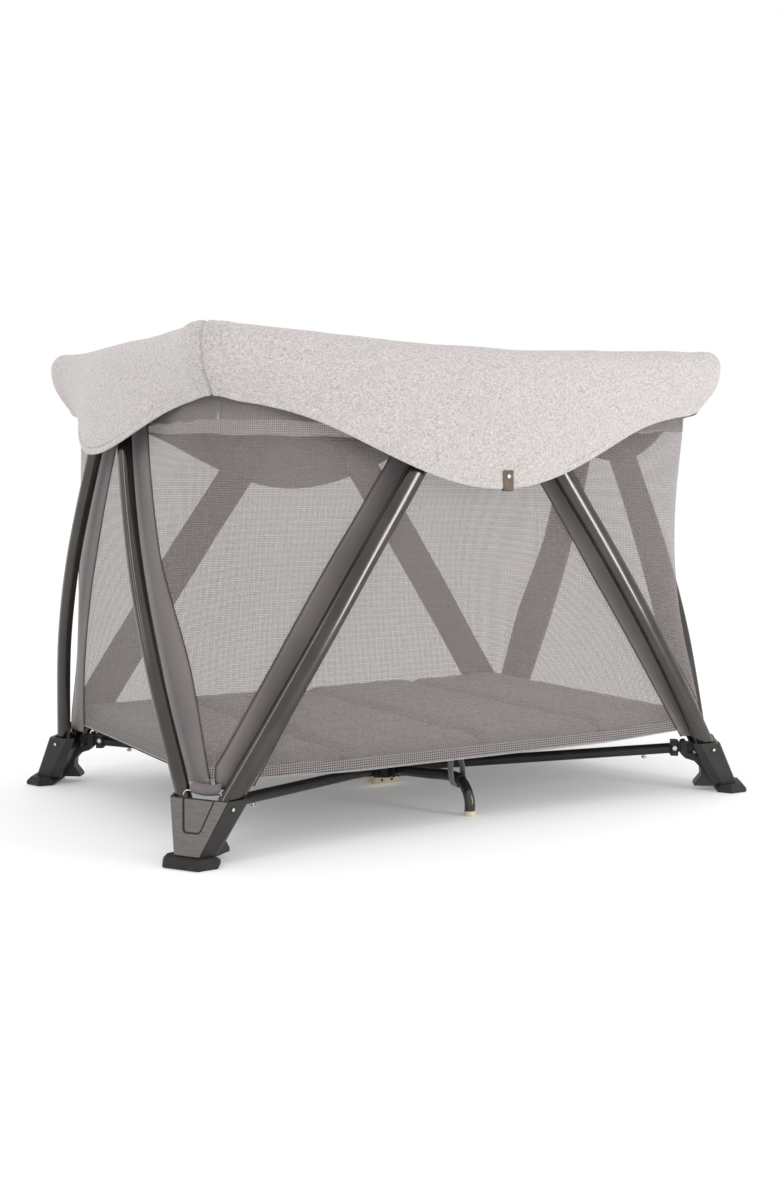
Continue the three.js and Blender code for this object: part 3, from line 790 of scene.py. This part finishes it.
def tub_point(side, share, height, out=0.0):
    """A point of the tub's wall, in mm: its share along the side, its height, and how far out."""
    half_x, half_y, radius, slack = tub_plan(height)
    spot, normal = plan_point(half_x, half_y, radius, side, share)
    sag = slack * (4.5 * (1 - share * share) + 3.0 * abs(share) ** 6)
    if kind_of(side) == "short":
        sag -= SHORT_WALL_BELLY * slack ** 0.8 * (1 - ease(abs(share), 0.62, 1.0))
    ripple = 1.6 * slack * wave_noise(metres(spot.x * 2.2, spot.y * 2.2, height * 0.8), 0.19, 4.0)
    spot = spot + normal * (out - sag + ripple)
    return metres(spot.x, spot.y, height)


def wall_foot(side, share):
    """The tub's lower edge lifts a little towards the corners."""
    if kind_of(side) == "long":
        return 104 + 7 * ease(abs(share), 0.45, 0.95)
    return 113 - 2 * ease(abs(share), 0.5, 1.0)


def hang(piece, side):
    """A soft piece rides on the hub in the middle of its side, with its own copy of its mesh."""
    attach(piece, f"{kind_of(side)}_hub_{side}")
    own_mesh(piece)


def tub_wall(side):
    """One see-through wall, with the coarse border along its foot."""
    columns = 61
    steps = 46
    border_rows = 2
    rows = []
    places = []
    for r in range(steps + 1):
        row = []
        for c in range(columns):
            share = 2 * c / (columns - 1) - 1
            height = wall_foot(side, share) + BORDER_HEIGHT * min(r / border_rows, 1)
            if r > border_rows:
                height = mix(height, WALL_TOP, (r - border_rows) / (steps - border_rows))
            row.append(tub_point(side, share, height))
            places.append(metres(share * TUB_LENGTH[kind_of(side)], height, 0))
        rows.append(row)
    wall = surface("mesh_wall_" + side, rows, [MESH, BORDER])
    layer = wall.data.attributes.new("cloth", "FLOAT_VECTOR", "POINT")
    layer.data.foreach_set("vector", np.array(places).ravel())
    for face in wall.data.polygons[:border_rows * (columns - 1)]:
        face.material_index = 1
    return wall


def add_tub_walls():
    shares = [2 * c / 60 - 1 for c in range(61)]
    for side in SIDES:
        wall = tub_wall(side)
        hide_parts("tub_wall_" + side)
        hem_line = [tub_point(side, share, wall_foot(side, share), 0.4) for share in shares]
        hem = sweep("wall_hem_" + side, hem_line, ring(0.0013, 8), Vector((0, 0, 1)), LINING)
        hang(wall, side)
        hang(hem, side)


def leg_offset(kind, height):
    """Where a leg's centre stands along its side at a height, in mm."""
    line, axis = (LONG_LEG_LINE, 0) if kind == "long" else (SHORT_LEG_LINE, 1)
    return float(np.interp(height, [p[2] for p in line], [p[axis] for p in line]))


def strip_edges(kind, height):
    """A strip's two edges along its side at a height: towards the corner, and towards the middle."""
    centre = leg_offset(kind, height)
    corner = STRIP_CORNER[kind]
    return min(centre + 43, corner), min(centre - 34, corner - 27)


def leg_strip(kind, corner):
    """The woven strip behind a leg, with a dark piping along both edges."""
    side_x, side_y = CORNERS[corner]
    if kind == "long":
        side, way = ("front" if side_y < 0 else "back"), side_x
    else:
        side, way = ("left" if side_x < 0 else "right"), side_y
    rows = []
    for r in range(49):
        height = mix(*STRIP_ENDS, (r / 48) ** 1.15)
        outer, inner = strip_edges(kind, height)
        row = []
        for c in range(9):
            crown = math.sin(math.pi * c / 8)
            along = mix(outer, inner, c / 8)
            ripple = 0.9 * wave_noise(metres(along, 0, height * 0.7), 0.07, 2.0 + side_x)
            lift = 1.2 + (2.0 + ripple) * crown
            row.append(tub_point(side, way * tub_share(side, along, height), height, lift))
        rows.append(row)
    strip = thickened(surface(f"{kind}_strip_{corner}", rows, STRIP), 0.0009)
    pipings = [sweep(f"{kind}_piping_{corner}_{name}", [row[c] for row in rows], ring(0.0010, 8),
                     Vector((1, 1, 0)), PIPING)
               for c, name in ((0, "outer"), (8, "inner"))]
    body = f"{kind}_leg_{corner}"
    for piece in (strip, *pipings):
        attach(piece, body)


def add_leg_strips():
    for corner in CORNERS:
        for kind in ("long", "short"):
            leg_strip(kind, corner)


def add_corner_clips():
    """The wire clip that ties the tub's corner to each foot, and the cloth tab it holds."""
    bent = [(567, -33, 82), (566, -33, 92), (563, -30, 95.5), (564, 0, 93), (563, 26, 95.5), (566, 29, 92),
            (567, 29, 82)]
    for corner in CORNERS:
        points = [near_corner(along, FOOT_MIDDLE + across, height, corner) for along, across, height in bent]
        wire = sweep("corner_wire_" + corner, smooth_line(points, 40), ring(0.0012, 10),
                     Vector((0.3, 0.2, 1)), STEEL)
        rows = []
        for height, along in ((91, 565.5), (94, 567), (98, 566.5), (102, 564), (106, 560)):
            rows.append([near_corner(along - 0.006 * u * u, FOOT_MIDDLE + u, height + 0.004 * u * u, corner)
                         for u in range(-25, 26, 5)])
        tab = thickened(surface("corner_tab_" + corner, rows, STRIP), 0.0012)
        for piece in (wire, tab):
            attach(piece, "foot_" + corner)


def floor_half(side, sign):
    """Half of the tub's floor cloth, cut out round the hub."""
    rows = []
    for r in range(17):
        row = []
        for c in range(61):
            x = mix(-458, 458, c / 60)
            hub = math.sqrt(max(0.0, 31.5 ** 2 - x * x))
            y = mix(max(hub, 0.4), 317.5, r / 16)
            drop = 1.2 * math.sin(math.pi * c / 60) * math.sin(math.pi * r / 16)
            lift = 4.0 * ease(abs(x), 300, 458) * ease(y, 180, 317)
            row.append(metres(x, sign * y, 105.8 - drop + lift))
        rows.append(row)
    return surface("floor_cloth_" + side, rows, FLOOR_CLOTH)


def add_tub_floor():
    for side, sign in (("front", -1), ("back", 1)):
        body = "support_leg_" + side
        cloth = floor_half(side, sign)
        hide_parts("tub_floor")
        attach(cloth, body)
        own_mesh(cloth)


def add_straps():
    """The webbing loop that ties the tub's floor to each support leg."""
    half = [(4, 104), (9, 90), (12, 70), (11.5, 54), (8, 43)]
    loop = [(-x, z) for x, z in half] + [(0, 39.5)] + half[::-1]
    for side, sign in (("front", -1), ("back", 1)):
        line = smooth_line([metres(x, sign * 240, z) for x, z in loop], 44)
        rows = []
        for centre in line:
            lean = Vector((0, sign * -0.010 * (centre.z - 0.04) / 0.065, 0))
            rows.append([centre + lean + Vector((0, y, 0)) for y in (-0.0075, -0.0025, 0.0025, 0.0075)])
        strap = thickened(surface("floor_strap_" + side, rows, WEBBING), 0.0012)
        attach(strap, "support_leg_" + side)


# ------------------------------------------------------------------ the rail cover

def cover_rise(share):
    """How far the scalloped hem has risen from the side's middle to the point at its corner seam."""
    hollow = ease(abs(share), 0.6, 0.92) - ease(abs(share), 0.92, 1.0)
    return math.sin(abs(share) * math.pi / 2) ** 2 - 0.045 * hollow


def cover_section(kind, share):
    """The cover's line across the rail: (out from its own line, height), outer hem to inner hem."""
    rise = cover_rise(share)
    near = ease(abs(share), 0.84, 1.0)
    half = mix(COVER_HALF[kind], COVER_HALF["corner"], near)
    bulge = COVER_BULGE[kind] * (1 - rise)
    hem = mix(COVER_HEM[kind], COVER_HEM["corner"], rise)
    top = mix(COVER_TOP[kind], COVER_TOP["corner"], rise)
    line = [
        (half + bulge, hem),
        (half + bulge * 0.97, mix(hem, top, 0.25)),
        (half + bulge * 0.9, mix(hem, top, 0.5)),
        (half + bulge * 0.72, mix(hem, top, 0.76)),
        (half - 3 + bulge * 0.42, top - 13),
        (half - 13 + bulge * 0.2, top - 2),
        (0, top),
        (-half + 12, top - 2.5),
        (-half + 3, top - 10),
        (-half, top - 26),
        (-half, mix(LINING_HEM, top, 0.45)),
        (-half + 1, LINING_HEM + 1.5 * math.sin(share * 23)),
    ]
    corner = rise ** 3
    return [(across + flare * corner, height) for (across, height), flare in zip(line, CORNER_FLARE)]


def hem_spacing(steps):
    """Shares along the section, close together at both hems for the turned edge and its stitches."""
    fine = [0, 0.006, 0.014, 0.024, 0.031, 0.036, 0.041, 0.05, 0.07, 0.1]
    middle = [0.1 + (0.965 - 0.1) * k / steps for k in range(1, steps)]
    return fine + middle + [0.965, 0.978, 0.983, 0.988, 0.994, 1.0]


def cover_column(kind, side, share, spacing):
    """One line of points over the rail, from the outer hem to the lining's hem."""
    controls = [Vector((across, height, 0)) for across, height in cover_section(kind, share)]
    fine = smooth_line(controls, 150)
    lengths = [0.0]
    for a, b in zip(fine, fine[1:]):
        lengths.append(lengths[-1] + (b - a).length)
    total = lengths[-1]
    half_x, half_y = COVER_LINE
    spot, normal = plan_point(half_x, half_y, COVER_CORNER, side, share)
    column = []
    for at in spacing:
        across = float(np.interp(at * total, lengths, [p.x for p in fine]))
        height = float(np.interp(at * total, lengths, [p.y for p in fine]))
        from_hem = at * total
        from_inner = (1 - at) * total
        turned = 0.9 * math.exp(-((from_hem - 4) / 4.0) ** 2)
        stitch = -0.5 * math.exp(-((from_hem - 10.5) / 1.3) ** 2)
        stitch -= 0.7 * math.exp(-((from_inner - 8) / 1.3) ** 2)
        from_seam = (1 - abs(share)) * COVER_LENGTH[kind]
        seam = -3.4 * math.exp(-(from_seam / 1.6) ** 2) - 0.8 * math.exp(-((from_seam - 9) / 1.4) ** 2)
        seam *= ease(across, -12, 0)
        seam += 4.5 * math.exp(-(from_seam / 22) ** 2) * ease(across, 5, 30)
        where = metres(spot.x + normal.x * across, spot.y + normal.y * across, height)
        slack = 1.9 * wave_noise(Vector((where.x, where.y, where.z * 0.6)), 0.11, 1.3)
        slack += 0.8 * wave_noise(where, 0.045, 7.1)
        slack += 1.1 * ease(abs(share), 0.7, 0.98) * wave_noise(
            Vector((where.x * 3, where.y * 3, where.z * 0.5)), 0.12, 3.7)
        push = turned + stitch + seam + slack * ease(from_hem, 0, 30) * ease(from_inner, 0, 30)
        column.append((across, height, push))
    out = []
    for k, (across, height, push) in enumerate(column):
        before = column[max(k - 1, 0)]
        after = column[min(k + 1, len(column) - 1)]
        tangent = Vector((after[0] - before[0], after[1] - before[1])).normalized()
        across += tangent.y * push
        height -= tangent.x * push
        out.append(metres(spot.x + normal.x * across, spot.y + normal.y * across, height))
    return out


def cover_shares(kind):
    """Shares along a side, close together at its two seams for the groove and its stitched edge."""
    count = COVER_COLUMNS[kind]
    fine = [1 - gap / COVER_LENGTH[kind] for gap in (17, 13.5, 11, 9.8, 9, 8.2, 7, 5, 3.2, 2, 1.2, 0.5, 0)]
    last = fine[0]
    even = [last * (2 * k / count - 1) for k in range(1, count)]
    return [-share for share in reversed(fine)] + even + fine


def rail_cover(side):
    kind = kind_of(side)
    spacing = hem_spacing(46)
    rows = [cover_column(kind, side, share, spacing) for share in cover_shares(kind)]
    cover = surface("cover_" + side, rows, [HEATHER, LINING])
    return thickened(cover, 0.0032, inner_look=1)


def hem_stitches(side):
    """A row of stitches in the groove over the outer hem."""
    kind = kind_of(side)
    count = int(2 * COVER_LENGTH[kind] / STITCH_PITCH)
    points, faces = [], []
    for k in range(count):
        start = (2 * (k + 0.2) / count - 1) * 0.985
        end = (2 * (k + 0.75) / count - 1) * 0.985
        ends = []
        for share in (start, (start + end) / 2, end):
            across, height = cover_section(kind, share)[0]
            spot, normal = plan_point(*COVER_LINE, COVER_CORNER, side, share)
            proud = 0.35 if share not in (start, end) else -0.3
            reach = across + proud - 0.1
            ends.append(metres(spot.x + normal.x * reach, spot.y + normal.y * reach, height + 10.5))
        base = len(points)
        for centre in ends:
            points += [centre + Vector((0, 0, 0.0005)), centre - Vector((0, 0, 0.0005))]
        faces += [(base, base + 1, base + 3, base + 2), (base + 2, base + 3, base + 5, base + 4)]
    stitches = add_mesh("cover_stitches_" + side, points, faces, HEATHER)
    return thickened(stitches, 0.0004)


def add_rail_covers():
    for side in SIDES:
        cover = rail_cover(side)
        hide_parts("rail_cover_" + side)
        stitches = hem_stitches(side)
        for piece in (cover, stitches):
            hang(piece, side)


def add_tag():
    """The small leather tag folded over the middle of the front hem, with a snap."""
    across, hem = cover_section("long", 0.03)[0]
    face = -(COVER_LINE[1] + across)
    rows = []
    for y, z in ((-1.7, 28), (-1.9, 20), (-2.2, 10), (-2.4, 2), (-1.8, -2.4), (0.8, -3.8), (3.6, -2.4),
                 (4.3, 3), (4.2, 12)):
        rows.append([metres(14 + x, face + y, hem + z) for x in (-9, -8.4, -4, 0, 4, 8.4, 9)])
    tag = thickened(surface("hem_tag", rows, LEATHER), 0.0014)
    snap = button("hem_tag_snap", metres(14, face - 2.4, hem + 19), Vector((0, -1, 0)), 0.0034, 0.0013, STEEL)
    for piece in (tag, snap):
        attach(piece, "long_hub_front")


# ------------------------------------------------------------------ the mattress

def cushion_block(length, width, height):
    """A closed block with rounded edges and a finely divided skin, centred on its own middle."""
    build = bmesh.new()
    bmesh.ops.create_cube(build, size=1)
    for corner in build.verts:
        corner.co = Vector((corner.co.x * length, corner.co.y * width, corner.co.z * height))
    bmesh.ops.bevel(build, geom=build.edges[:], offset=0.008, segments=3, affect="EDGES")
    mesh = bpy.data.meshes.new("cushion_block")
    build.to_mesh(mesh)
    build.free()
    block = bpy.data.objects.new("cushion_block", mesh)
    bpy.context.scene.collection.objects.link(block)
    remesh = block.modifiers.new("even", "REMESH")
    remesh.mode = "VOXEL"
    remesh.voxel_size = 0.0056
    return settled(block)


def inflated(block, limit):
    """Cloth simulation: pressure swells the skin, and no point moves further than the limit."""
    start = np.array([v.co for v in block.data.vertices])
    cloth = block.modifiers.new("swell", "CLOTH")
    cloth.settings.use_pressure = True
    cloth.settings.uniform_pressure_force = 4
    cloth.settings.effector_weights.gravity = 0
    cloth.settings.quality = 4
    cloth.settings.tension_stiffness = 12
    cloth.settings.bending_stiffness = 2
    scene = bpy.context.scene
    for step in range(1, 19):
        scene.frame_set(step)
    settled(block)
    moved = np.array([v.co for v in block.data.vertices]) - start
    distance = np.maximum(np.linalg.norm(moved, axis=1), 1e-9)
    kept = start + moved * (limit * np.tanh(distance / limit) / distance)[:, None]
    block.data.vertices.foreach_set("co", kept.ravel())
    scene.frame_set(1)
    return block


def quilt_depth(x, y):
    """How deep the quilting lies at a place on the top, in mm: stitched waves that cross."""
    waves = [math.sin((x + 26 * math.sin(y / 46.0)) * math.pi / 62),
             math.sin((y + 20 * math.sin(x / 38.0)) * math.pi / 78)]
    return sum(2.4 * math.exp(-(w / 0.2) ** 2) for w in waves)


def mattress_panel(name, block, from_x, to_x):
    """One panel of the mattress, fitted from the swollen block, with its top quilted."""
    places = np.array([v.co for v in block.data.vertices])
    low, high = places.min(axis=0), places.max(axis=0)
    panel = bpy.data.objects.new(name + "_pad", block.data.copy())
    bpy.context.scene.collection.objects.link(panel)
    target_low = metres(from_x + 0.5, -MATTRESS_HALF_WIDTH, MATTRESS_HEIGHTS[0])
    target_high = metres(to_x - 0.5, MATTRESS_HALF_WIDTH, MATTRESS_HEIGHTS[1])
    for vertex in panel.data.vertices:
        share = [(vertex.co[i] - low[i]) / (high[i] - low[i]) for i in range(3)]
        vertex.co = Vector([mix(target_low[i], target_high[i], share[i]) for i in range(3)])
        if share[2] > 0.6:
            x, y = vertex.co.x * 1000, vertex.co.y * 1000
            valley = 5.5 * (1 - ease(min(x - from_x, to_x - x), 0, 20))
            vertex.co.z -= (quilt_depth(x, y) + valley) / 1000 * ease(share[2], 0.6, 0.9)
        if share[2] < 0.12:
            vertex.co.z = target_low.z
    panel.data.materials.clear()
    panel.data.materials.append(MATTRESS)
    panel.data.polygons.foreach_set("use_smooth", [True] * len(panel.data.polygons))
    return subdivided(panel)


def add_mattress():
    block = inflated(cushion_block(0.226, 0.612, 0.022), 0.0055)
    for i, name in enumerate(MATTRESS_NAMES):
        panel = mattress_panel(name, block, MATTRESS_SEAMS[i], MATTRESS_SEAMS[i + 1])
        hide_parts(name)
        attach(panel, MATTRESS_BODIES[i])
    bpy.data.objects.remove(block)


# ------------------------------------------------------------------ floor, light and camera

def add_stage():
    floor = add_mesh("studio_floor", [(-40, -40, 0), (40, -40, 0), (40, 40, 0), (-40, 40, 0)], [(0, 1, 2, 3)],
                     backdrop())
    floor.location.z = -0.0004


def add_light(name, position, target, size, energy):
    light = bpy.data.lights.new(name, "AREA")
    light.shape = "RECTANGLE"
    light.size, light.size_y = size
    light.energy = energy
    lamp = bpy.data.objects.new(name, light)
    lamp.location = position
    lamp.rotation_euler = (Vector(target) - Vector(position)).to_track_quat("-Z", "Y").to_euler()
    lamp.visible_camera = False
    bpy.context.scene.collection.objects.link(lamp)


def add_lights():
    world = bpy.data.worlds.new("studio")
    world.use_nodes = True
    sky = world.node_tree.nodes["Background"]
    sky.inputs["Color"].default_value = (1, 1, 1, 1)
    sky.inputs["Strength"].default_value = 1.0
    bpy.context.scene.world = world
    add_light("key", (-2.8, -0.9, 1.9), (-0.3, 0, 0.5), (0.5, 1.6), 14)
    add_light("low_strip", (0.95, -1.82, 0.50), (0, -0.34, 0.45), (0.28, 0.96), 12.5)
    add_light("top", (0.2, 0.3, 3.4), (0, 0, 0.3), (2.4, 2.4), 8)
    bpy.context.scene.view_settings.view_transform = "Standard"


def add_camera():
    camera = bpy.data.cameras.new("camera")
    camera.lens = 42.96
    camera.sensor_width = 36
    camera.clip_start = 0.05
    camera.clip_end = 200
    eye = bpy.data.objects.new("camera", camera)
    yaw = math.radians(30.54)
    pitch = math.radians(4.42)
    eye.location = (-1.254, -2.149, 0.523)
    ahead = Vector((math.sin(yaw) * math.cos(pitch), math.cos(yaw) * math.cos(pitch), -math.sin(pitch)))
    eye.rotation_euler = ahead.to_track_quat("-Z", "Y").to_euler()
    bpy.context.scene.collection.objects.link(eye)
    bpy.context.scene.camera = eye


add_camera()
add_lights()
add_stage()
dress_cad_nodes()
add_legs()
add_foot_faces()
add_arm_details()
add_support_legs()
add_hub_screws()
add_tub_walls()
add_leg_strips()
add_corner_clips()
add_tub_floor()
add_straps()
add_rail_covers()
add_tag()
add_mattress()
